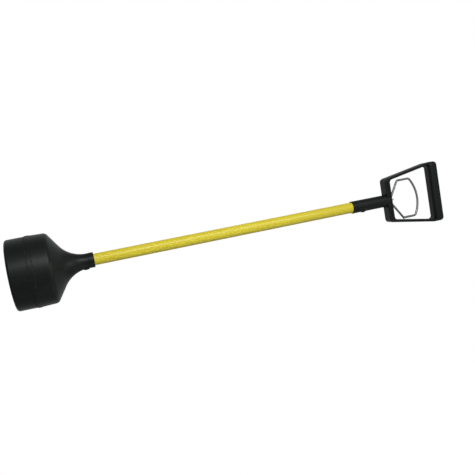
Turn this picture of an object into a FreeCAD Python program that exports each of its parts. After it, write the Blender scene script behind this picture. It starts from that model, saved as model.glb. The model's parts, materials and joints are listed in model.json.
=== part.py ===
import FreeCAD, Part
import math
import os
import re
import Sketcher

# A long-handled magnetic pick-up tool, in millimetres.
#
# The tool stands on the flat face of its cup. +Z runs up the pole to the D grip, the origin is the
# centre of the cup's face, and the D grip lies in the XZ plane. A ring magnet inside the closed cup
# hangs on a rod that runs up inside the pole to a wire loop in the grip. Pulling the loop lifts the
# magnet off the cup's floor, and a spring pushes it back.

DIMENSIONS = {
    # Cup: the closed lower half of the head
    "cup_radius": 66.2,
    "cup_top_radius": 66.5,
    "cup_height": 34.4,
    "cup_bore_radius": 63.0,
    "cup_floor": 3.0,
    "cup_edge_round": 4.6,
    "cup_inner_round": 2.5,
    "lap_radius": 64.6,
    "lap_top": 43.0,
    "lap_clearance": 0.6,
    "gasket_clearance": 0.05,
    "gasket_inset": 0.9,
    # Bell: the upper half of the head, which ends in the pole's socket
    "bell_bottom": 35.8,
    "lip_radius": 67.5,
    "lip_top": 43.2,
    "lip_step": 0.6,
    "lip_slope": 0.8,
    "shoulder_radius": 65.9,
    "shoulder_height": 73.0,
    "shoulder_round": 9.0,
    "flare_radius": 14.7,
    "flare_height": 107.2,
    "flare_round": 55.0,
    "lap_bore_radius": 64.7,
    "bell_bore_radius": 62.5,
    "bell_bore_height": 71.4,
    "bell_bore_round": 6.0,
    "ceiling_radius": 20.0,
    "ceiling_height": 99.0,
    "neck_ledge": 111.8,
    "neck_radius": 14.2,
    "neck_top": 139.6,
    # Pole and the rings at its two ends
    "pole_radius": 11.1,
    "pole_bore_radius": 7.95,
    "pole_bottom": 112.0,
    "pole_top": 742.0,
    "socket_bore_radius": 11.15,
    "lower_collar_top": 149.9,
    "lower_collar_radius": 14.5,
    "upper_collar_bottom": 691.0,
    "upper_collar_radius": 13.0,
    "collar_round": 0.8,
    # Guides of the rod
    "bush_radius": 7.9,
    "bush_bore_radius": 3.25,
    "bush_seat_clearance": 0.05,
    "flange_radius": 11.0,
    "flange_height": 1.5,
    "middle_bush_bottom": 420.0,
    "middle_bush_length": 16.0,
    "upper_bush_length": 18.0,
    # D grip
    "socket_bottom": 699.6,
    "socket_radius": 12.9,
    "hub_radius": 12.8,
    "hub_top": 783.3,
    "hub_round": 1.2,
    "bar_bottom": 772.3,
    "bar_top": 784.4,
    "bar_half_width": 46.5,
    "bar_inner_half_width": 42.5,
    "bar_corner_round": 8.0,
    "arm_outer_top": 64.9,
    "arm_knee_height": 878.5,
    "arm_knee_round": 25.0,
    "arm_inner_top": 61.0,
    "opening_top": 890.0,
    "arm_top": 896.0,
    "arm_top_round": 5.0,
    "opening_round": 7.0,
    "ring_depth": 24.0,
    "ring_edge_round": 2.0,
    "web_depth": 14.0,
    "web_foot_height": 862.0,
    "web_foot_inner": 56.7,
    "web_foot_outer": 59.5,
    "web_corner_inner": 60.6,
    "web_corner_height": 883.8,
    "web_corner_round": 10.0,
    "web_top_outer": 63.0,
    "flute_depth": 0.7,
    "flute_width": 1.2,
    "flute_pitch": 2.7,
    "grip_bottom": 883.0,
    "grip_top": 904.9,
    "grip_depth": 27.0,
    "grip_half_width": 65.4,
    "grip_section_round": 8.0,
    "grip_end_round": 7.6,
    "socket_bore_top": 744.5,
    "nut_room_radius": 7.5,
    "nut_room_top": 776.0,
    "eye_room_radius": 5.5,
    "core_pocket_near": 9.0,
    "core_pocket_far": 15.5,
    "core_pocket_back": 4.6,
    "core_pocket_front": 9.6,
    "core_pocket_top": 777.5,
    "cut_margin": 1.0,
    # Screws through the two sockets
    "lower_screw_height": 133.2,
    "upper_screw_height": 716.8,
    "screw_radius": 2.0,
    "screw_hole_radius": 2.1,
    "screw_length": 5.6,
    "screw_head_radius": 4.0,
    "screw_head_height": 0.8,
    "screw_head_round": 0.6,
    "screw_recess_length": 3.8,
    "screw_recess_width": 0.9,
    "screw_recess_depth": 0.6,
    "screw_seat_gap": 0.1,
    "boss_root": 11.8,
    "neck_boss_radius": 6.0,
    "neck_boss_height": 1.2,
    "socket_boss_radius": 5.0,
    "socket_boss_height": 0.4,
    # Magnet carriage
    "magnet_gap": 0.6,
    "pot_radius": 58.0,
    "pot_wall": 5.0,
    "pot_plate": 5.0,
    "magnet_height": 15.5,
    "magnet_radius": 50.0,
    "magnet_bore_radius": 22.0,
    "core_radius": 18.0,
    "core_thread_depth": 10.0,
    "rod_hole_radius": 3.25,
    "spring_seat_clearance": 0.5,
    "washer_radius": 14.0,
    "washer_height": 1.6,
    "nut_flats": 11.1,
    "nut_height": 5.5,
    "nut_gap": 0.3,
    # Rod, stop clip and eye
    "rod_radius": 3.175,
    "rod_thread_radius": 3.2,
    "rod_end_clearance": 0.5,
    "eye_bottom": 752.0,
    "eye_top": 791.6,
    "eye_radius": 4.5,
    "eye_round": 1.2,
    "eye_thread_depth": 19.0,
    "eye_hole_radius": 2.6,
    "eye_tang_bottom": 781.5,
    "eye_tang_half": 1.8,
    "clip_radius": 6.5,
    "clip_top": 73.5,
    "clip_height": 1.2,
    # Return spring
    "spring_radius": 11.0,
    "spring_wire_radius": 0.9,
    "spring_turns": 8.0,
    "spring_end_gap": 0.2,
    # Pull loop
    "wire_radius": 2.3,
    "loop_twist": 4.6,
    "loop_slide": 2.4,
    "loop_foot_height": 787.4,
    "loop_foot_half_width": 7.0,
    "loop_side_half_width": 40.8,
    "loop_side_bottom": 809.0,
    "loop_side_top": 838.4,
    "loop_apex_height": 862.5,
    "loop_foot_round": 5.0,
    "loop_corner_round": 6.0,
    "loop_apex_round": 73.0,
    "loop_tail_radius": 2.2,
    "loop_tail_root": 4.0,
    "loop_tail_length": 6.4,
}

doc = FreeCAD.newDocument("magnetic_pick_up_tool")
sheet = doc.addObject("Spreadsheet::Sheet", "dims")
for row, (alias, number) in enumerate(DIMENSIONS.items(), start=1):
    sheet.set(f"A{row}", str(number))
    sheet.setAlias(f"A{row}", alias)
doc.recompute()

AXIS_TOLERANCE = 1e-6
PLANE_TOLERANCE = 1e-4
V_AXIS = -2
H_AXIS = -1
START = 1
END = 2
CENTRE = 3


def bound(words):
    """Put the sheet's name before every dimension in an expression."""
    return re.sub(r"\b([a-z]+_\w+)", r"dims.\1", words)


def value(owner, words):
    """The number that an expression of dimensions gives."""
    result = owner.evalExpression(bound(words))
    return float(getattr(result, "Value", result))


def bind(feature, prop, words):
    feature.setExpression(prop, bound(words))


# ---------------------------------------------------------------- sketches


def new_body(label):
    body = doc.addObject("PartDesign::Body", label)
    body.Label = label
    return body


def new_sketch(body, plane, name):
    """A sketch on one of the body's own origin planes."""
    sketch = body.newObject("Sketcher::SketchObject", name)
    support = next(item for item in body.Origin.OriginFeatures if item.Role == plane)
    sketch.AttachmentSupport = (support, [""])
    sketch.MapMode = "FlatFace"
    return sketch


def fix(sketch, kind, item, point, words):
    """Place one point of the sketch across or up from its origin, by an expression."""
    number = value(sketch, words)
    if abs(number) < AXIS_TOLERANCE:
        axis = V_AXIS if kind == "DistanceX" else H_AXIS
        sketch.addConstraint(Sketcher.Constraint("PointOnObject", item, point, axis))
        return
    index = sketch.addConstraint(Sketcher.Constraint(kind, H_AXIS, START, item, point, number))
    sketch.setExpression(f"Constraints[{index}]", bound(words))


def fix_corner(sketch, item, point, corner):
    fix(sketch, "DistanceX", item, point, corner[0])
    fix(sketch, "DistanceY", item, point, corner[1])


def arc_at(corner, before, after, radius):
    """The arc that rounds a corner, its two tangent points, and which of its ends comes first."""
    towards_before = (before - corner).normalize()
    towards_after = (after - corner).normalize()
    half_angle = towards_before.getAngle(towards_after) / 2
    reach = radius / math.tan(half_angle)
    first = corner + towards_before * reach
    last = corner + towards_after * reach
    bisector = (towards_before + towards_after).normalize()
    centre = corner + bisector * (radius / math.sin(half_angle))
    turns_left = (corner - before).cross(after - corner).z > 0
    start, end = (first, last) if turns_left else (last, first)
    angles = [math.atan2(point.y - centre.y, point.x - centre.x) for point in (start, end)]
    if angles[1] < angles[0]:
        angles[1] += 2 * math.pi
    circle = Part.Circle(centre, FreeCAD.Vector(0, 0, 1), radius)
    return Part.ArcOfCircle(circle, *angles), first, last, START if turns_left else END


def draw_outline(sketch, corners):
    """Draw a closed outline. Each corner is (across, up) or (across, up, round), as expressions."""
    places = [
        FreeCAD.Vector(value(sketch, corner[0]), value(sketch, corner[1]), 0) for corner in corners
    ]
    count = len(corners)
    starts = list(places)
    ends = list(places)
    arcs = {}
    for index, corner in enumerate(corners):
        if len(corner) == 3:
            radius = value(sketch, corner[2])
            neighbours = places[index - 1], places[(index + 1) % count]
            arc, first, last, first_end = arc_at(places[index], *neighbours, radius)
            ends[index] = first
            starts[index] = last
            arcs[index] = (arc, first_end)
    lines = [
        sketch.addGeometry(Part.LineSegment(starts[index], ends[(index + 1) % count]), False)
        for index in range(count)
    ]
    for index, corner in enumerate(corners):
        line_in = lines[index - 1]
        line_out = lines[index]
        if index not in arcs:
            sketch.addConstraint(Sketcher.Constraint("Coincident", line_in, END, line_out, START))
            fix_corner(sketch, line_out, START, corner)
            continue
        arc, first_end = arcs[index]
        last_end = END if first_end == START else START
        rounded = sketch.addGeometry(arc, False)
        point = sketch.addGeometry(Part.Point(places[index]), True)
        sketch.addConstraint(Sketcher.Constraint("Tangent", line_in, END, rounded, first_end))
        sketch.addConstraint(Sketcher.Constraint("Tangent", line_out, START, rounded, last_end))
        sketch.addConstraint(Sketcher.Constraint("PointOnObject", point, START, line_in))
        sketch.addConstraint(Sketcher.Constraint("PointOnObject", point, START, line_out))
        fix_corner(sketch, point, START, corner)
        size = sketch.addConstraint(Sketcher.Constraint("Radius", rounded, arc.Radius))
        sketch.setExpression(f"Constraints[{size}]", bound(corner[2]))


def mirrored(corners):
    """Close a half outline, given from the V axis outwards and back, with its mirror image."""
    other_side = [("-(" + corner[0] + ")",) + tuple(corner[1:]) for corner in reversed(corners)]
    return list(corners) + other_side


def box_corners(left, bottom, right, top):
    return [(left, bottom), (right, bottom), (right, top), (left, top)]


def draw_circle(sketch, across, up, radius):
    centre = FreeCAD.Vector(value(sketch, across), value(sketch, up), 0)
    circle = Part.Circle(centre, FreeCAD.Vector(0, 0, 1), value(sketch, radius))
    item = sketch.addGeometry(circle, False)
    fix_corner(sketch, item, CENTRE, (across, up))
    size = sketch.addConstraint(Sketcher.Constraint("Radius", item, circle.Radius))
    sketch.setExpression(f"Constraints[{size}]", bound(radius))


# ---------------------------------------------------------------- features


def turn(body, name, corners, kind="PartDesign::Revolution", axis="V_Axis"):
    """Revolve an outline in the XZ plane about the body's Z axis, or its X axis for H_Axis."""
    sketch = new_sketch(body, "XZ_Plane", name + "_outline")
    draw_outline(sketch, corners)
    feature = body.newObject(kind, name)
    feature.Profile = sketch
    feature.ReferenceAxis = (sketch, [axis])
    feature.Angle = 360
    body.Tip = feature
    return feature


def extrude(body, name, plane, outlines, length, kind="PartDesign::Pad", offset="0"):
    """Pad or pocket one or more outlines, the same length each side of their plane."""
    sketch = new_sketch(body, plane, name + "_outline")
    bind(sketch, "AttachmentOffset.Base.z", offset)
    for corners in outlines:
        draw_outline(sketch, corners)
    feature = body.newObject(kind, name)
    feature.Profile = sketch
    feature.SideType = "Symmetric"
    bind(feature, "Length", length)
    body.Tip = feature
    return feature


def cut_checked(feature, before):
    """Recompute, and stop if the cut took nothing away."""
    doc.recompute()
    if feature.Shape.Volume > before - AXIS_TOLERANCE:
        raise RuntimeError(feature.Name + " cuts nothing")


def groove(body, name, corners):
    doc.recompute()
    before = body.Shape.Volume
    cut_checked(turn(body, name, corners, "PartDesign::Groove"), before)


def pocket(body, name, plane, outlines, length, offset="0"):
    doc.recompute()
    before = body.Shape.Volume
    cut_checked(extrude(body, name, plane, outlines, length, "PartDesign::Pocket", offset), before)


def screw_hole(body, name, height, depth):
    """A round hole from the body's axis out through its +X side."""
    doc.recompute()
    before = body.Shape.Volume
    sketch = new_sketch(body, "YZ_Plane", name + "_outline")
    draw_circle(sketch, "0", height, "screw_hole_radius")
    feature = body.newObject("PartDesign::Pocket", name)
    feature.Profile = sketch
    feature.Reversed = True
    bind(feature, "Length", depth)
    body.Tip = feature
    cut_checked(feature, before)


def screw_boss(body, name, height, radius, top):
    """A round pad on the body's +X side, from inside its wall out to a flat top."""
    sketch = new_sketch(body, "YZ_Plane", name + "_outline")
    draw_circle(sketch, "0", height, radius)
    bind(sketch, "AttachmentOffset.Base.z", "boss_root")
    feature = body.newObject("PartDesign::Pad", name)
    feature.Profile = sketch
    bind(feature, "Length", top + " - boss_root")
    body.Tip = feature


def round_edges(body, name, chosen, radius):
    """Fillet the edges of the body's last feature that the test picks out."""
    doc.recompute()
    base = body.Tip
    edges = enumerate(base.Shape.Edges, start=1)
    names = [f"Edge{number}" for number, edge in edges if chosen(edge)]
    if not names:
        raise RuntimeError(name + " finds no edge")
    fillet = body.newObject("PartDesign::Fillet", name)
    fillet.Base = (base, names)
    bind(fillet, "Radius", radius)
    body.Tip = fillet


def in_plane(edge, coordinate, place):
    """Whether an edge lies in the planes at plus and minus this place on X, Y or Z."""
    box = edge.BoundBox
    low = getattr(box, coordinate + "Min")
    high = getattr(box, coordinate + "Max")
    flat = abs(high - low) < PLANE_TOLERANCE
    return flat and abs(abs(low) - place) < PLANE_TOLERANCE


def turned_ring(label, inner, outer, bottom, top):
    """A plain ring or washer, square in section."""
    body = new_body(label)
    turn(body, label + "_turn", box_corners(inner, bottom, outer, top))
    return body


# ---------------------------------------------------------------- head


def base_cup():
    """The closed cup: a flat face, a rounded edge, and a lap that plugs into the bell."""
    body = new_body("base_cup")
    turn(body, "cup_shell", [
        ("0", "0"),
        ("cup_radius", "0", "cup_edge_round"),
        ("cup_top_radius", "cup_height"),
        ("lap_radius", "cup_height"),
        ("lap_radius", "lap_top"),
        ("cup_bore_radius", "lap_top"),
        ("cup_bore_radius", "cup_floor", "cup_inner_round"),
        ("0", "cup_floor"),
    ])


def bell_housing():
    """The bell: a lip over the cup's lap, a soft shoulder, a flared cone and the pole's socket."""
    body = new_body("bell_housing")
    turn(body, "bell_shell", [
        ("lap_bore_radius", "bell_bottom"),
        ("lip_radius", "bell_bottom"),
        ("lip_radius", "lip_top"),
        ("lip_radius - lip_step", "lip_top + lip_slope"),
        ("shoulder_radius", "shoulder_height", "shoulder_round"),
        ("flare_radius", "flare_height", "flare_round"),
        ("neck_radius", "neck_top"),
        ("socket_bore_radius", "neck_top"),
        ("socket_bore_radius", "neck_ledge"),
        ("bush_radius + bush_seat_clearance", "neck_ledge"),
        ("bush_radius + bush_seat_clearance", "ceiling_height"),
        ("ceiling_radius", "ceiling_height"),
        ("bell_bore_radius", "bell_bore_height", "bell_bore_round"),
        ("bell_bore_radius", "lap_top + lap_clearance"),
        ("lap_bore_radius", "lap_top + lap_clearance"),
    ])
    boss_top = "neck_radius + neck_boss_height"
    screw_boss(body, "neck_boss", "lower_screw_height", "neck_boss_radius", boss_top)
    screw_hole(body, "neck_screw_hole", "lower_screw_height", "neck_radius * 2")


def seam_gasket():
    """The flat rubber ring that closes the seam between cup and bell."""
    turned_ring(
        "seam_gasket", "lap_radius + gasket_clearance", "cup_top_radius - gasket_inset",
        "cup_height + gasket_clearance", "bell_bottom - gasket_clearance",
    )


# ---------------------------------------------------------------- pole


def pole():
    """The fibreglass tube."""
    body = turned_ring("pole", "pole_bore_radius", "pole_radius", "pole_bottom", "pole_top")
    screw_hole(body, "pole_lower_hole", "lower_screw_height", "pole_radius * 2")
    screw_hole(body, "pole_upper_hole", "upper_screw_height", "pole_radius * 2")


def collar(label, bottom, top, radius):
    """A ring round the pole at the mouth of a socket, its outer edges eased."""
    body = new_body(label)
    turn(body, label + "_turn", [
        ("socket_bore_radius", bottom),
        (radius, bottom, "collar_round"),
        (radius, top, "collar_round"),
        ("socket_bore_radius", top),
    ])


def guide_bush(label, bottom, top):
    """A plain plastic bush that fits in the pole and guides the rod."""
    turned_ring(label, "bush_bore_radius", "bush_radius", bottom, top)


def flanged_bush(label, bottom, top, flange_low, flange_high):
    """A rod guide with a flange that seats against the end of its hole."""
    body = new_body(label)
    flange_first = value(body, flange_low) < value(body, bottom)
    plain = [("bush_radius", bottom), ("bush_radius", top)]
    flange = [("flange_radius", flange_low), ("flange_radius", flange_high)]
    if flange_first:
        side = flange + plain
        low, high = flange_low, top
    else:
        side = plain + flange
        low, high = bottom, flange_high
    turn(body, label + "_turn", [("bush_bore_radius", low)] + side + [("bush_bore_radius", high)])


def socket_screw(label, height, radius):
    """A pan-head screw with a cross recess, driven in from the +X side."""
    body = new_body(label)
    seat = radius + " + screw_seat_gap"
    head_top = seat + " + screw_head_height"
    turn(body, label + "_turn", [
        (seat + " - screw_length", "0"),
        (seat, "0"),
        (head_top, "0"),
        (head_top, "screw_head_radius", "screw_head_round"),
        (seat, "screw_head_radius"),
        (seat, "screw_radius"),
        (seat + " - screw_length", "screw_radius"),
    ], axis="H_Axis")
    doc.recompute()
    before = body.Shape.Volume
    sketch = new_sketch(body, "YZ_Plane", label + "_recess_outline")
    half_length = "screw_recess_length / 2"
    half_width = "screw_recess_width / 2"
    arm_in, arm_out = half_width, half_length
    draw_outline(sketch, [
        (arm_in, "-" + arm_out), (arm_in, "-" + arm_in), (arm_out, "-" + arm_in),
        (arm_out, arm_in), (arm_in, arm_in), (arm_in, arm_out),
        ("-" + arm_in, arm_out), ("-" + arm_in, arm_in), ("-" + arm_out, arm_in),
        ("-" + arm_out, "-" + arm_in), ("-" + arm_in, "-" + arm_in), ("-" + arm_in, "-" + arm_out),
    ])
    bind(sketch, "AttachmentOffset.Base.z", head_top)
    recess = body.newObject("PartDesign::Pocket", label + "_recess")
    recess.Profile = sketch
    bind(recess, "Length", "screw_recess_depth")
    body.Tip = recess
    cut_checked(recess, before)
    bind(body, "Placement.Base.z", height)


# ---------------------------------------------------------------- D grip


def d_grip():
    """The moulded D grip: socket and hub, front bar, two arms and the rounded grip bar."""
    body = new_body("d_grip")
    outer = [
        ("bar_half_width", "bar_bottom", "bar_corner_round"),
        ("arm_outer_top", "arm_knee_height", "arm_knee_round"),
        ("arm_outer_top", "arm_top", "arm_top_round"),
    ]
    opening = [
        ("bar_inner_half_width", "bar_top", "opening_round"),
        ("arm_inner_top", "opening_top", "opening_round"),
    ]
    extrude(body, "ring", "XZ_Plane", [mirrored(outer), mirrored(opening)], "ring_depth")
    half_depth = DIMENSIONS["ring_depth"] / 2
    round_edges(body, "ring_edges", lambda edge: in_plane(edge, "Y", half_depth), "ring_edge_round")
    cut_flutes(body)
    add_corner_webs(body)
    add_grip_bar(body)
    turn(body, "hub", [
        ("0", "socket_bottom"),
        ("socket_radius", "socket_bottom"),
        ("hub_radius", "hub_top", "hub_round"),
        ("0", "hub_top"),
    ])
    boss_top = "socket_radius + socket_boss_height"
    screw_boss(body, "socket_boss", "upper_screw_height", "socket_boss_radius", boss_top)
    groove(body, "socket_bore", [
        ("0", "socket_bottom - cut_margin"),
        ("socket_bore_radius", "socket_bottom - cut_margin"),
        ("socket_bore_radius", "socket_bore_top"),
        ("nut_room_radius", "socket_bore_top"),
        ("nut_room_radius", "nut_room_top"),
        ("eye_room_radius", "nut_room_top"),
        ("eye_room_radius", "bar_top + cut_margin"),
        ("0", "bar_top + cut_margin"),
    ])
    cut_core_pockets(body)
    screw_hole(body, "socket_screw_hole", "upper_screw_height", "socket_radius * 2")


def cut_core_pockets(body):
    """Four blind pockets in the front bar's underside, two each side of the hub."""
    outlines = []
    for left, right in (
        ("core_pocket_near", "core_pocket_far"),
        ("-core_pocket_far", "-core_pocket_near"),
    ):
        outlines.append(box_corners(left, "core_pocket_back", right, "core_pocket_front"))
        outlines.append(box_corners(left, "-core_pocket_front", right, "-core_pocket_back"))
    middle = "(core_pocket_top + bar_bottom) / 2"
    pocket(body, "core_pockets", "XY_Plane", outlines, "core_pocket_top - bar_bottom", middle)


def cut_flutes(body):
    """Shallow flutes along both faces of the front bar."""
    middle = "(bar_bottom + bar_top) / 2"
    deep = "ring_depth / 2 - flute_depth"
    proud = "ring_depth / 2 + cut_margin"
    outlines = []
    for step in (-1, 0, 1):
        low = f"{middle} + flute_pitch * ({step}) - flute_width / 2"
        high = f"{middle} + flute_pitch * ({step}) + flute_width / 2"
        outlines.append(box_corners(deep, low, proud, high))
        outlines.append(box_corners(f"-({proud})", low, f"-({deep})", high))
    pocket(body, "flutes", "YZ_Plane", outlines, "bar_inner_half_width * 2 - opening_round")


def add_corner_webs(body):
    """A thinner arch inside the arms and the grip bar, which rounds the opening's two top corners."""
    arch = [
        ("web_foot_inner", "web_foot_height"),
        ("web_foot_outer", "web_foot_height"),
        ("web_top_outer", "opening_top"),
        ("-web_top_outer", "opening_top"),
        ("-web_foot_outer", "web_foot_height"),
        ("-web_foot_inner", "web_foot_height"),
        ("-web_corner_inner", "web_corner_height", "web_corner_round"),
        ("web_corner_inner", "web_corner_height", "web_corner_round"),
    ]
    extrude(body, "corner_webs", "XZ_Plane", [arch], "web_depth")


def add_grip_bar(body):
    """The grip bar, a rounded section across the top of the arms with eased ends."""
    bar = new_body("grip_bar")
    section = mirrored([
        ("grip_depth / 2", "grip_bottom", "grip_section_round"),
        ("grip_depth / 2", "grip_top", "grip_section_round"),
    ])
    extrude(bar, "grip_section", "YZ_Plane", [section], "grip_half_width * 2")
    half_width = DIMENSIONS["grip_half_width"]
    round_edges(bar, "grip_ends", lambda edge: in_plane(edge, "X", half_width), "grip_end_round")
    joined = body.newObject("PartDesign::Boolean", "grip_joined")
    joined.setObjects([bar])
    body.Tip = joined


# ---------------------------------------------------------------- magnet carriage

POT_TOP = "cup_floor + magnet_gap + magnet_height + pot_plate"
WASHER_TOP = POT_TOP + " + washer_height"


def magnet_pot():
    """The steel pot that the ring magnet sits in, open downwards."""
    body = new_body("magnet_pot")
    bottom = "cup_floor + magnet_gap"
    plate_bottom = bottom + " + magnet_height"
    turn(body, "pot_turn", [
        ("pot_radius - pot_wall", bottom),
        ("pot_radius", bottom),
        ("pot_radius", POT_TOP),
        ("rod_hole_radius", POT_TOP),
        ("rod_hole_radius", plate_bottom),
        ("pot_radius - pot_wall", plate_bottom),
    ])


def ring_magnet():
    """The ferrite ring."""
    turned_ring(
        "ring_magnet", "magnet_bore_radius", "magnet_radius",
        "cup_floor + magnet_gap", "cup_floor + magnet_gap + magnet_height",
    )


def centre_core():
    """The steel pole piece in the ring, with a blind tapped hole for the rod."""
    body = new_body("centre_core")
    bottom = "cup_floor + magnet_gap"
    top = bottom + " + magnet_height"
    turn(body, "core_turn", [
        ("0", bottom),
        ("core_radius", bottom),
        ("core_radius", top),
        ("rod_thread_radius", top),
        ("rod_thread_radius", top + " - core_thread_depth"),
        ("0", top + " - core_thread_depth"),
    ])


def carriage_washer():
    """The wide washer on the pot, which is the spring's lower seat."""
    turned_ring("carriage_washer", "rod_hole_radius", "washer_radius", POT_TOP, WASHER_TOP)


def hex_nut(name, bottom, height):
    """A hexagonal nut on the Z axis, as a prism with a round hole cut through it."""
    prism = doc.addObject("Part::Prism", name + "_blank")
    prism.Polygon = 6
    bind(prism, "Circumradius", "nut_flats / sqrt(3)")
    bind(prism, "Height", height)
    bind(prism, "Placement.Base.z", bottom)
    hole = doc.addObject("Part::Cylinder", name + "_hole")
    bind(hole, "Radius", "rod_thread_radius")
    bind(hole, "Height", height + " + cut_margin * 2")
    bind(hole, "Placement.Base.z", bottom + " - cut_margin")
    nut = doc.addObject("Part::Cut", name)
    nut.Base = prism
    nut.Tool = hole
    return nut


def carriage_nuts():
    """The nut and lock nut that clamp the carriage to the rod, as two solids of one node."""
    lower = hex_nut("clamp_nut", WASHER_TOP, "nut_height")
    upper = hex_nut("lock_nut", WASHER_TOP + " + nut_height + nut_gap", "nut_height")
    pair = doc.addObject("Part::Compound", "carriage_nuts")
    pair.Links = [lower, upper]
    pair.Label = "carriage_nuts"


def return_spring():
    """The compression spring between the carriage's washer and the spring seat."""
    body = new_body("return_spring")
    sketch = new_sketch(body, "XZ_Plane", "spring_wire_outline")
    start = WASHER_TOP + " + spring_wire_radius + spring_end_gap"
    draw_circle(sketch, "spring_radius", start, "spring_wire_radius")
    coil = body.newObject("PartDesign::AdditiveHelix", "spring_coil")
    coil.Profile = sketch
    coil.ReferenceAxis = (sketch, ["V_Axis"])
    coil.Mode = "height-turns-angle"
    seat = "ceiling_height - flange_height - washer_height"
    ends = "spring_wire_radius * 2 + spring_end_gap * 2"
    bind(coil, "Height", f"{seat} - ({WASHER_TOP}) - ({ends})")
    bind(coil, "Turns", "spring_turns")
    body.Tip = coil


def spring_seat():
    """The washer that the spring's upper end presses against."""
    turned_ring(
        "spring_seat", "rod_hole_radius + spring_seat_clearance", "washer_radius",
        "ceiling_height - flange_height - washer_height", "ceiling_height - flange_height",
    )


# ---------------------------------------------------------------- rod and loop


def pull_rod():
    """The rod from the magnet's core to the eye."""
    body = new_body("pull_rod")
    bottom = "cup_floor + magnet_gap + magnet_height - core_thread_depth + rod_end_clearance"
    top = "eye_bottom + eye_thread_depth - rod_end_clearance"
    turn(body, "rod_turn", [
        ("0", bottom),
        ("rod_radius", bottom),
        ("rod_radius", top),
        ("0", top),
    ])


def stop_clip():
    """The clip on the rod that meets the spring seat at the top of the stroke."""
    turned_ring("stop_clip", "rod_thread_radius", "clip_radius", "clip_top - clip_height", "clip_top")


def eye_jam_nut():
    """The nut that locks the eye on the rod."""
    nut = hex_nut("eye_jam_nut", "eye_bottom - nut_height", "nut_height")
    nut.Label = "eye_jam_nut"


def rod_eye():
    """The eye: a threaded sleeve on the rod, flattened at its top, with a cross hole for the wire."""
    body = new_body("rod_eye")
    turn(body, "eye_turn", [
        ("rod_thread_radius", "eye_bottom"),
        ("eye_radius", "eye_bottom"),
        ("eye_radius", "eye_top", "eye_round"),
        ("0", "eye_top"),
        ("0", "eye_bottom + eye_thread_depth"),
        ("rod_thread_radius", "eye_bottom + eye_thread_depth"),
    ])
    doc.recompute()
    before = body.Shape.Volume
    sketch = new_sketch(body, "YZ_Plane", "eye_hole_outline")
    draw_circle(sketch, "0", "loop_foot_height", "eye_hole_radius")
    hole = body.newObject("PartDesign::Pocket", "eye_hole")
    hole.Profile = sketch
    hole.SideType = "Symmetric"
    bind(hole, "Length", "eye_radius * 2 + cut_margin * 2")
    body.Tip = hole
    cut_checked(hole, before)
    inner, outer = "eye_tang_half", "eye_radius + cut_margin"
    above = "eye_top + cut_margin"
    flats = [
        box_corners(inner, "eye_tang_bottom", outer, above),
        box_corners(f"-({outer})", "eye_tang_bottom", "-" + inner, above),
    ]
    pocket(body, "eye_flats", "XZ_Plane", flats, "eye_radius * 2 + cut_margin * 2")
    twist(body)


def twist(body):
    """Turn the body by the small angle at which the eye and its loop stand in the grip."""
    clockwise = FreeCAD.Rotation(FreeCAD.Vector(0, 0, -1), 1)
    body.Placement = FreeCAD.Placement(FreeCAD.Vector(0, 0, 0), clockwise)
    bind(body, "Placement.Rotation.Angle", "loop_twist * 1 deg")


def pull_loop():
    """The wire loop: two straight slopes up from the eye, two short sides and an arched top."""
    body = new_body("pull_loop")
    path = new_sketch(body, "XZ_Plane", "loop_path")
    side = [
        ("0", "loop_foot_height"),
        ("loop_foot_half_width", "loop_foot_height", "loop_foot_round"),
        ("loop_side_half_width", "loop_side_bottom", "loop_corner_round"),
        ("loop_side_half_width", "loop_side_top", "loop_corner_round"),
        ("0", "loop_apex_height", "loop_apex_round"),
    ]
    other_side = [("-" + corner[0],) + corner[1:] for corner in reversed(side[1:4])]
    draw_outline(path, side + other_side)
    section = new_sketch(body, "YZ_Plane", "loop_section")
    draw_circle(section, "0", "loop_foot_height", "wire_radius")
    loop = body.newObject("PartDesign::AdditivePipe", "loop_pipe")
    loop.Profile = section
    loop.Spine = (path, [])
    body.Tip = loop
    add_loop_tail(body)
    twist(body)
    bind(body, "Placement.Base.x", "loop_slide * cos(loop_twist * 1 deg)")
    bind(body, "Placement.Base.y", "-loop_slide * sin(loop_twist * 1 deg)")


def add_loop_tail(body):
    """The wire's cut end, which runs a little past the loop's lower corner on the +X side."""
    rise = "loop_side_bottom - loop_foot_height"
    run = "loop_side_half_width - loop_foot_half_width"
    slope = f"atan2({rise}; {run})"
    upright = FreeCAD.Rotation(FreeCAD.Vector(0, 1, 0), 90)
    tail = body.newObject("PartDesign::AdditiveCylinder", "loop_tail")
    tail.Placement = FreeCAD.Placement(FreeCAD.Vector(0, 0, 0), upright)
    bind(tail, "Radius", "loop_tail_radius")
    bind(tail, "Height", "loop_tail_length")
    bind(tail, "Placement.Rotation.Angle", f"90 deg - {slope}")
    bind(tail, "Placement.Base.x", f"loop_side_half_width - loop_tail_root * cos({slope})")
    bind(tail, "Placement.Base.z", f"loop_side_bottom - loop_tail_root * sin({slope})")
    body.Tip = tail


base_cup()
bell_housing()
seam_gasket()
pole()
collar("lower_collar", "neck_top", "lower_collar_top", "lower_collar_radius")
collar("upper_collar", "upper_collar_bottom", "socket_bottom", "upper_collar_radius")
flanged_bush(
    "lower_guide_bush", "ceiling_height", "neck_ledge",
    "ceiling_height - flange_height", "ceiling_height",
)
guide_bush("middle_guide_bush", "middle_bush_bottom", "middle_bush_bottom + middle_bush_length")
flanged_bush(
    "upper_guide_bush", "pole_top - upper_bush_length", "pole_top",
    "pole_top", "pole_top + flange_height",
)
socket_screw("lower_socket_screw", "lower_screw_height", "neck_radius + neck_boss_height")
socket_screw("upper_socket_screw", "upper_screw_height", "socket_radius + socket_boss_height")
d_grip()
magnet_pot()
ring_magnet()
centre_core()
carriage_washer()
carriage_nuts()
return_spring()
spring_seat()
pull_rod()
stop_clip()
rod_eye()
eye_jam_nut()
pull_loop()

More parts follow.
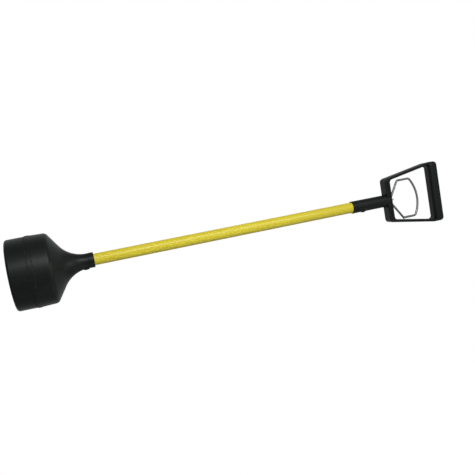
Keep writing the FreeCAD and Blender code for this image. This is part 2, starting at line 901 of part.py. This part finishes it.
NODES = [
    "base_cup", "bell_housing", "seam_gasket", "pole", "lower_collar", "upper_collar",
    "lower_guide_bush", "middle_guide_bush", "upper_guide_bush",
    "lower_socket_screw", "upper_socket_screw", "d_grip",
    "magnet_pot", "ring_magnet", "centre_core", "carriage_washer", "carriage_nuts",
    "return_spring", "spring_seat", "pull_rod", "stop_clip", "rod_eye", "eye_jam_nut", "pull_loop",
]


def check_and_export():
    """Stop on any failed feature or bad shape, then write one STEP file for each sub-part."""
    doc.recompute()
    for item in doc.Objects:
        if "Invalid" in item.State or "Error" in item.State:
            raise RuntimeError(f"{item.Name} is {item.State}")
    nodes = [doc.getObjectsByLabel(name)[0] for name in NODES]
    for node in nodes:
        if node.Shape.isNull() or not node.Shape.isValid():
            raise RuntimeError(node.Label + " has no valid shape")
    os.makedirs("parts", exist_ok=True)
    for node in nodes:
        node.Shape.exportStep(f"parts/{node.Label}.step")
        box = node.Shape.BoundBox
        print(
            f"{node.Label:20s} {len(node.Shape.Solids)} solid  {node.Shape.Volume:10.0f} mm3"
            f"  x {box.XMin:.1f} {box.XMax:.1f}  y {box.YMin:.1f} {box.YMax:.1f}"
            f"  z {box.ZMin:.1f} {box.ZMax:.1f}"
        )


check_and_export()
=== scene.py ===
import json
import math

import bmesh
import bpy
from mathutils import Euler, Matrix, Vector


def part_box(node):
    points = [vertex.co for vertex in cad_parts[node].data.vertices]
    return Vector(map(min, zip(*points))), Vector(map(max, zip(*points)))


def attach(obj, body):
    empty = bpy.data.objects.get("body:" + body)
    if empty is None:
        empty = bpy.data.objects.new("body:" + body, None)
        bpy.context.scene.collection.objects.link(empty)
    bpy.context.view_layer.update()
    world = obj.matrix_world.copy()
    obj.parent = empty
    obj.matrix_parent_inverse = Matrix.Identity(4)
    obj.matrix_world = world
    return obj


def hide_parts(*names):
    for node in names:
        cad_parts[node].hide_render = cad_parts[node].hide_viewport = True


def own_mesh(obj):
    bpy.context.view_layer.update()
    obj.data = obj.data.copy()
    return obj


# A long-handled magnetic pick-up tool, in metres. It stands on the flat face of its cup with the
# pole along +Z and the D grip in the XZ plane. The camera looks at its -Y side from low down, close
# to the head, and is rolled so that the pole lies across the picture with the head on the left.

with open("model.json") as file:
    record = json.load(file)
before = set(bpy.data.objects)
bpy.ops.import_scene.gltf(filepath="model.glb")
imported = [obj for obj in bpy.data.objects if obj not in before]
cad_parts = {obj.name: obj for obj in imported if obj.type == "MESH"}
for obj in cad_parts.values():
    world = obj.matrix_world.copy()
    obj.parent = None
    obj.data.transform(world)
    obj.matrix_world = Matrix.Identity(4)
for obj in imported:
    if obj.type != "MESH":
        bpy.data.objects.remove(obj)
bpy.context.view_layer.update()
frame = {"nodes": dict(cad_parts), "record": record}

MM = 0.001


# ---------------------------------------------------------------- node helpers

# The colour sockets of a mix node, which has a set of sockets for each kind of data.
MIX_FACTOR = 0
MIX_FIRST = 6
MIX_SECOND = 7
MIX_RESULT = 2

class Graph:
    """A material's node tree, with short calls to add nodes and wire them up."""

    def __init__(self, name):
        self.material = bpy.data.materials.new(name)
        self.material.use_nodes = True
        self.tree = self.material.node_tree
        self.shader = self.tree.nodes["Principled BSDF"]

    def node(self, kind, inputs=None, **settings):
        made = self.tree.nodes.new(kind)
        for key, setting in settings.items():
            setattr(made, key, setting)
        for key, source in (inputs or {}).items():
            self.wire(source, made.inputs[key])
        return made

    def wire(self, source, socket):
        """Link a socket, or set a plain number or colour on the socket itself."""
        if isinstance(source, bpy.types.NodeSocket):
            self.tree.links.new(source, socket)
        else:
            socket.default_value = source

    def set(self, **inputs):
        """Feed the shader's inputs, each named with underscores for spaces."""
        for key, source in inputs.items():
            self.wire(source, self.shader.inputs[key.replace("_", " ")])

    def place(self, scale=(1.0, 1.0, 1.0)):
        """The object's own coordinates, in metres. A small scale draws marks out along its axis."""
        coordinates = self.node("ShaderNodeTexCoord").outputs["Object"]
        mapping = self.node("ShaderNodeMapping", {"Vector": coordinates, "Scale": scale})
        return mapping.outputs["Vector"]

    def noise(self, place, scale, detail=3.0, roughness=0.5):
        inputs = {"Vector": place, "Scale": scale, "Detail": detail, "Roughness": roughness}
        return self.node("ShaderNodeTexNoise", inputs).outputs["Fac"]

    def remap(self, source, low, high, out_low=0.0, out_high=1.0):
        inputs = {
            "Value": source, "From Min": low, "From Max": high,
            "To Min": out_low, "To Max": out_high,
        }
        return self.node("ShaderNodeMapRange", inputs).outputs["Result"]

    def widen(self, noise, out_low=0.0, out_high=1.0):
        """Use the middle of a noise's range, where nearly all of it lies, as the whole range."""
        return self.remap(noise, 0.3, 0.7, out_low, out_high)

    def mix(self, factor, first, second):
        made = self.node("ShaderNodeMix", data_type="RGBA")
        for index, source in ((MIX_FACTOR, factor), (MIX_FIRST, first), (MIX_SECOND, second)):
            self.wire(source, made.inputs[index])
        return made.outputs[MIX_RESULT]

    def maths(self, operation, first, second):
        made = self.node("ShaderNodeMath", operation=operation)
        self.wire(first, made.inputs[0])
        self.wire(second, made.inputs[1])
        return made.outputs[0]

    def bump(self, height, distance, strength, below=None):
        """A bump, in metres, on top of another bump's normal if one is given."""
        inputs = {"Height": height, "Distance": distance, "Strength": strength}
        made = self.node("ShaderNodeBump", inputs)
        if below is not None:
            self.wire(below, made.inputs["Normal"])
        return made.outputs["Normal"]


def colour(red, green, blue):
    return (red, green, blue, 1.0)


def grey(level):
    return colour(level, level, level)


# ---------------------------------------------------------------- materials

# Depths below the grip's top.
WEAR_ENDS = 22.0 * MM
WEAR_IS_FULL = 14.0 * MM

# Scales for marks that run round the pole's axis and along it.
TURNED = (0.05, 0.05, 1.0)
DRAWN = (1.0, 1.0, 0.05)


def grip_wear(g, place):
    """Streaks along the grip bar where gloves have rubbed it, fading out below it."""
    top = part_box("d_grip")[1].z
    height = g.node("ShaderNodeSeparateXYZ", {"Vector": place}).outputs["Z"]
    on_grip = g.remap(height, top - WEAR_ENDS, top - WEAR_IS_FULL)
    streaks = g.remap(g.noise(g.place((0.04, 1.0, 1.0)), 800.0, 3.0, 0.6), 0.45, 0.7)
    return g.maths("MULTIPLY", streaks, on_grip)


def black_moulding():
    """Satin injection-moulded plastic: fine grain, faint flow marks, light scuffs and a worn grip."""
    g = Graph("black_moulding")
    place = g.place()
    flow = g.noise(g.place((1.0, 1.0, 0.35)), 14.0, detail=4.0)
    grain = g.noise(place, 2600.0, detail=2.0)
    scuffs = g.remap(g.noise(g.place((1.0, 1.0, 0.2)), 300.0, detail=6.0, roughness=0.7), 0.62, 0.75)
    patches = g.remap(g.noise(place, 22.0, detail=2.0), 0.5, 0.7)
    scuffed = g.maths("MULTIPLY", scuffs, patches)
    rubbed = grip_wear(g, place)
    plastic = g.mix(flow, colour(0.0040, 0.0047, 0.0046), colour(0.0060, 0.0069, 0.0068))
    worn = g.mix(g.maths("MULTIPLY", rubbed, 0.4), plastic, grey(0.014))
    rough = g.widen(flow, 0.43, 0.51)
    flow_bump = g.bump(flow, 0.4 * MM, 0.25, below=g.bump(grain, 0.03 * MM, 0.6))
    g.set(
        Base_Color=g.mix(scuffed, worn, colour(0.030, 0.031, 0.031)),
        Roughness=g.maths("ADD", rough, g.maths("MULTIPLY", scuffed, 0.15)),
        Specular_IOR_Level=0.17,
        Specular_Tint=colour(0.90, 1.0, 0.97),
        Normal=g.bump(rubbed, 0.1 * MM, 0.5, below=flow_bump),
    )
    return g.material


def black_rubber():
    g = Graph("black_rubber")
    speckle = g.noise(g.place(), 900.0)
    g.set(
        Base_Color=g.mix(speckle, grey(0.006), grey(0.012)),
        Roughness=g.widen(speckle, 0.75, 0.9),
        Normal=g.bump(speckle, 0.05 * MM, 0.5),
    )
    return g.material


def yellow_fibreglass():
    """A pultruded tube: lengthwise glass fibres under a clear resin gloss, with small handling marks."""
    g = Graph("yellow_fibreglass")
    fibres = g.noise(g.place((1.0, 1.0, 0.012)), 900.0)
    bands = g.noise(g.place((1.0, 1.0, 0.03)), 130.0)
    cloud = g.noise(g.place(), 12.0, detail=2.0)
    specks = g.remap(g.noise(g.place((1.0, 1.0, 0.4)), 700.0), 0.72, 0.80, 0.0, 0.5)
    yellow = g.mix(g.widen(fibres), colour(0.49, 0.410, 0.012), colour(0.56, 0.470, 0.020))
    toned = g.mix(g.remap(bands, 0.35, 0.7, 0.0, 0.5), yellow, colour(0.57, 0.485, 0.032))
    aged = g.mix(g.remap(cloud, 0.45, 0.75, 0.0, 0.35), toned, colour(0.47, 0.390, 0.014))
    g.set(
        Base_Color=g.mix(specks, aged, colour(0.46, 0.38, 0.04)),
        Roughness=g.widen(fibres, 0.45, 0.57),
        Specular_IOR_Level=0.3,
        Coat_Weight=0.14,
        Coat_Roughness=0.16,
        Normal=g.bump(fibres, 0.02 * MM, 0.4, below=g.bump(bands, 0.1 * MM, 0.3)),
    )
    return g.material


def white_acetal():
    g = Graph("white_bush")
    cloud = g.noise(g.place(), 160.0)
    rings = g.noise(g.place((0.02, 0.02, 1.0)), 2400.0, detail=2.0)
    g.set(
        Base_Color=g.mix(cloud, colour(0.72, 0.70, 0.64), colour(0.82, 0.81, 0.76)),
        Roughness=g.widen(cloud, 0.38, 0.5),
        Normal=g.bump(rings, 0.03 * MM, 0.5),
    )
    return g.material


def metal(name, dark, light, roughness, marks_run, marks_scale, depth, spots=None):
    """A bare or plated metal with marks that run the way it was turned or drawn."""
    g = Graph(name)
    marks = g.noise(g.place(marks_run), marks_scale, detail=4.0, roughness=0.6)
    cloud = g.noise(g.place(), 90.0)
    tone = g.mix(g.widen(marks), dark, light)
    if spots:
        tone = g.mix(g.remap(cloud, 0.55, 0.75, 0.0, 0.7), tone, spots)
    g.set(
        Base_Color=tone,
        Metallic=1.0,
        Roughness=g.widen(cloud, roughness * 0.85, roughness * 1.25),
        Normal=g.bump(marks, depth, 0.6),
    )
    return g.material


def zinc_steel():
    return metal(
        "zinc_steel", dark=colour(0.27, 0.28, 0.29), light=colour(0.40, 0.41, 0.43), roughness=0.42,
        marks_run=TURNED, marks_scale=1800.0, depth=0.02 * MM, spots=colour(0.34, 0.35, 0.40),
    )


def pot_steel():
    return metal(
        "pot_steel", dark=colour(0.30, 0.30, 0.31), light=colour(0.46, 0.46, 0.47), roughness=0.34,
        marks_run=TURNED, marks_scale=1500.0, depth=0.04 * MM, spots=colour(0.22, 0.20, 0.18),
    )


def spring_steel():
    return metal(
        "spring_steel", dark=colour(0.30, 0.31, 0.32), light=colour(0.45, 0.46, 0.48), roughness=0.3,
        marks_run=TURNED, marks_scale=1600.0, depth=0.02 * MM,
    )


def loop_wire():
    return metal(
        "loop_wire", dark=colour(0.15, 0.16, 0.165), light=colour(0.24, 0.25, 0.26), roughness=0.55,
        marks_run=DRAWN, marks_scale=1500.0, depth=0.02 * MM,
    )


def ferrite():
    g = Graph("ferrite")
    grain = g.noise(g.place(), 1500.0, detail=4.0, roughness=0.6)
    chips = g.remap(g.noise(g.place(), 120.0, detail=5.0), 0.6, 0.7)
    g.set(
        Base_Color=g.mix(chips, colour(0.035, 0.035, 0.038), colour(0.07, 0.07, 0.074)),
        Roughness=g.widen(grain, 0.45, 0.65),
        Normal=g.bump(grain, 0.05 * MM, 0.6),
    )
    return g.material


def black_oxide():
    g = Graph("black_oxide_screw")
    marks = g.noise(g.place(), 1200.0)
    g.set(
        Base_Color=g.mix(marks, grey(0.012), grey(0.035)),
        Metallic=0.6,
        Roughness=g.widen(marks, 0.3, 0.45),
        Normal=g.bump(marks, 0.03 * MM, 0.4),
    )
    return g.material


MATERIALS = {
    "black_moulding": black_moulding(),
    "black_rubber": black_rubber(),
    "yellow_fibreglass": yellow_fibreglass(),
    "white_bush": white_acetal(),
    "black_oxide_screw": black_oxide(),
    "zinc_steel": zinc_steel(),
    "pot_steel": pot_steel(),
    "ferrite": ferrite(),
    "spring_steel": spring_steel(),
    "loop_wire": loop_wire(),
}


def dress_cad_nodes():
    """Give every CAD node the procedural material of its slot."""
    for row in frame["record"]["subparts"]:
        node = frame["nodes"][row["node"]]
        node.data.materials.clear()
        node.data.materials.append(MATERIALS[row["material_slot"]])


# ---------------------------------------------------------------- return spring

SPRING_RADIUS = 11.0 * MM
SPRING_WIRE_RADIUS = 0.9 * MM
SPRING_TURNS = 8
CLOSED_TURNS = 1.0
CLOSED_PITCH = 1.85 * MM
SPRING_END_GAP = 0.02 * MM
STEPS_PER_TURN = 32
WIRE_SIDES = 12


def helix_place(turn, bottom, open_pitch):
    """A point of the wire's centre line: the turns at both ends are closed, those between are open."""
    closed = min(turn, CLOSED_TURNS) + max(0.0, turn - (SPRING_TURNS - CLOSED_TURNS))
    height = bottom + closed * CLOSED_PITCH + (turn - closed) * open_pitch
    angle = 2.0 * math.pi * turn
    return Vector((math.cos(angle) * SPRING_RADIUS, math.sin(angle) * SPRING_RADIUS, height))


def wire_ring(wire, centre):
    """One ring of the wire's round section, in the plane through the spring's axis."""
    outward = Vector((centre.x, centre.y, 0.0)).normalized()
    ring = []
    for side in range(WIRE_SIDES):
        angle = 2.0 * math.pi * side / WIRE_SIDES
        offset = outward * math.cos(angle) + Vector((0.0, 0.0, math.sin(angle)))
        ring.append(wire.verts.new(centre + offset * SPRING_WIRE_RADIUS))
    return ring


def spring_mesh(bottom, open_pitch):
    wire = bmesh.new()
    rings = []
    for step in range(SPRING_TURNS * STEPS_PER_TURN + 1):
        rings.append(wire_ring(wire, helix_place(step / STEPS_PER_TURN, bottom, open_pitch)))
    for first, second in zip(rings, rings[1:]):
        for side in range(WIRE_SIDES):
            after = (side + 1) % WIRE_SIDES
            face = wire.faces.new((first[side], first[after], second[after], second[side]))
            face.smooth = True
    wire.faces.new(reversed(rings[0]))
    wire.faces.new(rings[-1])
    bmesh.ops.recalc_face_normals(wire, faces=wire.faces)
    mesh = bpy.data.meshes.new("coil_spring")
    wire.to_mesh(mesh)
    wire.free()
    return mesh


def return_spring():
    """The coil spring, drawn between the carriage washer and its upper seat and fixed to the frame."""
    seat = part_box("spring_seat")[0].z
    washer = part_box("carriage_washer")[1].z
    bottom = washer + SPRING_WIRE_RADIUS + SPRING_END_GAP
    rise = seat - washer - 2.0 * (SPRING_WIRE_RADIUS + SPRING_END_GAP)
    open_pitch = (rise - 2.0 * CLOSED_TURNS * CLOSED_PITCH) / (SPRING_TURNS - 2.0 * CLOSED_TURNS)
    mesh = spring_mesh(bottom, open_pitch)
    mesh.materials.append(MATERIALS["spring_steel"])
    spring = bpy.data.objects.new("coil_spring", mesh)
    bpy.context.scene.collection.objects.link(spring)
    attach(spring, "frame")
    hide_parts("return_spring")
    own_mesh(spring)


# ---------------------------------------------------------------- studio

FLOOR_HALF_WIDTH = 6.0
FLOOR_DROP = 0.05 * MM
DOME_RADIUS = 9.0
SKY_FRONT_STRENGTH = 0.25
SKY_BACK_STRENGTH = 0.78

# The Y parts of the directions between which the sky grows brighter.
SKY_RISE_STARTS = 0.2
SKY_RISE_ENDS = 0.9

# Distances from the pole's axis.
LIGHT_DISTANCE = 1.7
TOP_BOX_DISTANCE = 0.3


def white_glow(name):
    g = Graph(name)
    g.tree.nodes.remove(g.shader)
    glow = g.node("ShaderNodeEmission", {"Color": grey(1.0), "Strength": 1.0})
    g.tree.links.new(glow.outputs[0], g.tree.nodes["Material Output"].inputs["Surface"])
    return g.material


def stage_piece(name, mesh):
    """A white piece of the studio, which the camera sees and which lights nothing."""
    made = bpy.data.objects.new(name, mesh)
    bpy.context.scene.collection.objects.link(made)
    mesh.materials.append(white_glow(name + "_white"))
    made.visible_diffuse = False
    made.visible_glossy = False
    return made


def floor():
    """A plain white floor under the cup."""
    mesh = bpy.data.meshes.new("floor")
    ends = (-FLOOR_HALF_WIDTH, FLOOR_HALF_WIDTH)
    corners = [(x, y, 0.0) for y in ends for x in ends]
    mesh.from_pydata(corners, [], [(0, 1, 3, 2)])
    stage_piece("floor", mesh).location.z = -FLOOR_DROP


def backdrop():
    """A wide white dome behind everything."""
    mesh = bpy.data.meshes.new("backdrop")
    shell = bmesh.new()
    bmesh.ops.create_icosphere(shell, subdivisions=3, radius=DOME_RADIUS)
    shell.to_mesh(mesh)
    shell.free()
    stage_piece("backdrop", mesh).visible_shadow = False


def on_axis(height):
    return Vector((0.0, 0.0, height))


def from_side(degrees, distance, height):
    """A place round the pole: 0 degrees is -Y, 90 degrees is -X."""
    angle = math.radians(degrees)
    return Vector((-math.sin(angle) * distance, -math.cos(angle) * distance, height))


def softbox(name, place, aim, width, length, power, spread=180.0):
    """A rectangular area light at a place, turned to its aim, its length upright, its spread in degrees."""
    data = bpy.data.lights.new(name, "AREA")
    data.shape = "RECTANGLE"
    data.size = width
    data.size_y = length
    data.energy = power
    data.spread = math.radians(spread)
    made = bpy.data.objects.new(name, data)
    made.visible_camera = False
    bpy.context.scene.collection.objects.link(made)
    back = (place - aim).normalized()
    right = Vector((0.0, 0.0, 1.0)).cross(back).normalized()
    up = back.cross(right)
    made.matrix_world = Matrix((
        (right.x, up.x, back.x, place.x),
        (right.y, up.y, back.y, place.y),
        (right.z, up.z, back.z, place.z),
        (0.0, 0.0, 0.0, 1.0),
    ))


def sky():
    """A white world that grows brighter from the front towards the back."""
    world = bpy.data.worlds.new("studio")
    world.use_nodes = True
    tree = world.node_tree
    background = tree.nodes["Background"]
    background.inputs["Color"].default_value = grey(1.0)
    direction = tree.nodes.new("ShaderNodeTexCoord")
    parts = tree.nodes.new("ShaderNodeSeparateXYZ")
    strength = tree.nodes.new("ShaderNodeMapRange")
    strength.inputs["From Min"].default_value = SKY_RISE_STARTS
    strength.inputs["From Max"].default_value = SKY_RISE_ENDS
    strength.inputs["To Min"].default_value = SKY_FRONT_STRENGTH
    strength.inputs["To Max"].default_value = SKY_BACK_STRENGTH
    tree.links.new(direction.outputs["Generated"], parts.inputs["Vector"])
    tree.links.new(parts.outputs["Y"], strength.inputs["Value"])
    tree.links.new(strength.outputs["Result"], background.inputs["Strength"])
    bpy.context.scene.world = world
    bpy.context.scene.view_settings.view_transform = "Standard"


def lights():
    """A tall strip for the whole tool, a box over the head, a spot on the pole and a weak fill."""
    softbox(
        "key_strip", from_side(degrees=34.0, distance=LIGHT_DISTANCE, height=0.35), aim=on_axis(0.45),
        width=0.20, length=2.0, power=46.0,
    )
    softbox(
        "top_box", from_side(degrees=12.0, distance=TOP_BOX_DISTANCE, height=0.85), aim=on_axis(0.1),
        width=0.17, length=0.17, power=0.08, spread=40.0,
    )
    softbox(
        "pole_spot", from_side(degrees=-12.0, distance=LIGHT_DISTANCE, height=1.45), aim=on_axis(0.65),
        width=0.10, length=0.4, power=2.4,
    )
    softbox(
        "fill_low", from_side(degrees=-65.0, distance=LIGHT_DISTANCE, height=0.85), aim=on_axis(0.6),
        width=0.8, length=1.4, power=6.0,
    )


# ---------------------------------------------------------------- camera

CAMERA_PLACE = Vector((-0.1072, -1.1590, 0.1185))
CAMERA_TURN = Euler([math.radians(angle) for angle in (143.459, -71.052, -57.87)])
CAMERA_LENS = 45.47
SENSOR_WIDTH = 36.0
CAMERA_REACH = 30.0


def camera():
    data = bpy.data.cameras.new("camera")
    data.lens = CAMERA_LENS
    data.sensor_width = SENSOR_WIDTH
    data.clip_end = CAMERA_REACH
    made = bpy.data.objects.new("camera", data)
    made.location = CAMERA_PLACE
    made.rotation_euler = CAMERA_TURN
    bpy.context.scene.collection.objects.link(made)
    bpy.context.scene.camera = made


dress_cad_nodes()
return_spring()
floor()
backdrop()
sky()
lights()
camera()
bpy.context.view_layer.update()
